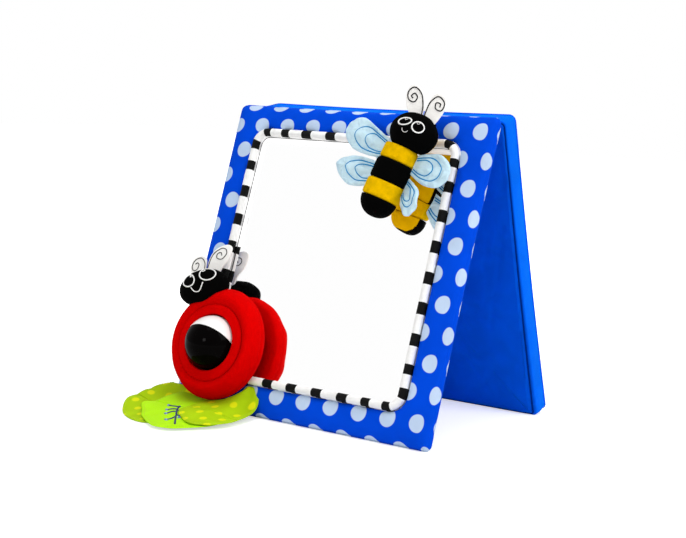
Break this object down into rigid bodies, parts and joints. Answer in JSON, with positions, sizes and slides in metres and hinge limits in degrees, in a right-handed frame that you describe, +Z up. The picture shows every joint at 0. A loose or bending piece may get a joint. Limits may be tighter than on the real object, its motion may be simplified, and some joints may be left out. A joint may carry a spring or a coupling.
{
  "type": "soft floor mirror",
  "caption": "Soft fabric floor mirror for a baby: padded folding stand with striped piping, a hanging stuffed bee, a plush ladybug round a spinning ball, and fabric leaves.",
  "frame": {"origin": "centre of the flat strip on which the front panel's lower edge stands", "axes": "+Z up, -Y towards the viewer of the mirror, +X to that viewer's right along the fold"},
  "size_m": [0.2902, 0.3106, 0.3015],
  "materials": {
    "dotted_fabric": "printed cotton twill with a slight sheen",
    "plain_fabric": "plain satin-weave cloth",
    "foam": "open-cell foam",
    "board": "flat board",
    "mirror": "polished flexible mirror sheet",
    "piping": "black and white striped cloth over cord",
    "yellow_plush": "short plush",
    "black_plush": "short plush",
    "white_felt": "felt",
    "wing_satin": "stitched satin",
    "ribbon": "woven ribbon",
    "red_plush": "short plush",
    "red_cloth": "smooth knitted cloth",
    "red_plastic": "moulded, matt",
    "black_plastic": "polished",
    "white_plastic": "polished",
    "axle": "moulded",
    "lime_fabric": "printed cotton with a stitched edge",
    "green_fabric": "satin with embroidery"
  },
  "bodies": {
    "front_panel": {"front_cover": "dotted_fabric", "front_lining": "plain_fabric", "front_pad": "foam", "mirror_board": "board", "mirror_sheet": "mirror", "mirror_piping": "piping", "fold_seam": "plain_fabric", "ladybug_ring": "red_plush", "ladybug_front_collar": "red_cloth", "ladybug_rear_collar": "red_plastic", "ball_axle": "axle", "ladybug_head": "black_plush", "ladybug_left_antenna": "white_felt", "ladybug_right_antenna": "white_felt", "ladybug_patch": "red_cloth", "bee_ribbon": "ribbon", "leaf_base": "lime_fabric", "leaf_seam": "lime_fabric"},
    "back_panel": {"back_cover": "plain_fabric", "back_lining": "plain_fabric", "back_pad": "foam", "back_board": "board"},
    "ball": {"ball_black_half": "black_plastic", "ball_white_half": "white_plastic"},
    "bee": {"bee_tail": "black_plush", "bee_rear_band": "yellow_plush", "bee_middle_band": "black_plush", "bee_front_band": "yellow_plush", "bee_head": "black_plush", "bee_left_antenna": "white_felt", "bee_right_antenna": "white_felt"},
    "upper_left_wing": {"bee_upper_left_wing": "wing_satin"},
    "upper_right_wing": {"bee_upper_right_wing": "wing_satin"},
    "lower_left_wing": {"bee_lower_left_wing": "wing_satin"},
    "lower_right_wing": {"bee_lower_right_wing": "wing_satin"},
    "left_leaf": {"leaf_left": "lime_fabric"},
    "middle_leaf": {"leaf_middle": "green_fabric"},
    "right_leaf": {"leaf_right": "lime_fabric"}
  },
  "joints": [
    {"name": "stand_fold", "type": "hinge", "parent": "front_panel", "child": "back_panel", "pos_m": [0, 0.09451, 0.27241], "axis": [1, 0, 0], "range_deg": [-36, 90]},
    {"name": "ball_spin", "type": "hinge", "parent": "front_panel", "child": "ball", "pos_m": [-0.0861, -0.01569, 0.06261], "axis": [1, 0, 0], "continuous": true},
    {"name": "bee_lift", "type": "hinge", "parent": "front_panel", "child": "bee", "pos_m": [0.07747, 0.0634, 0.27067], "axis": [-1, 0, 0], "range_deg": [0, 40]},
    {"name": "upper_left_wing_flap", "type": "hinge", "parent": "bee", "child": "upper_left_wing", "pos_m": [0.05314, 0.04829, 0.24447], "axis": [0.2385, 0.3075, 0.9212], "range_deg": [-13, 30], "stiffness_Nm_per_rad": 0.01},
    {"name": "lower_left_wing_flap", "type": "hinge", "parent": "bee", "child": "lower_left_wing", "pos_m": [0.04686, 0.04123, 0.22333], "axis": [0.2385, 0.3075, 0.9212], "range_deg": [-20, 18], "stiffness_Nm_per_rad": 0.01},
    {"name": "upper_right_wing_flap", "type": "hinge", "parent": "bee", "child": "upper_right_wing", "pos_m": [0.0826, 0.0443, 0.23253], "axis": [-0.2385, -0.3075, -0.9212], "range_deg": [-16, 30], "stiffness_Nm_per_rad": 0.01},
    {"name": "lower_right_wing_flap", "type": "hinge", "parent": "bee", "child": "lower_right_wing", "pos_m": [0.07855, 0.03766, 0.21265], "axis": [-0.2385, -0.3075, -0.9212], "range_deg": [-25, 18], "stiffness_Nm_per_rad": 0.01},
    {"name": "left_leaf_lift", "type": "hinge", "parent": "front_panel", "child": "left_leaf", "pos_m": [0, -0.0447, 0.0031], "axis": [-1, 0, 0], "range_deg": [0, 20]},
    {"name": "middle_leaf_lift", "type": "hinge", "parent": "left_leaf", "child": "middle_leaf", "pos_m": [0, -0.0447, 0.0031], "axis": [-1, 0, 0], "range_deg": [0, 25]},
    {"name": "right_leaf_lift", "type": "hinge", "parent": "middle_leaf", "child": "right_leaf", "pos_m": [0, -0.0447, 0.0031], "axis": [-1, 0, 0], "range_deg": [0, 40]}
  ]
}
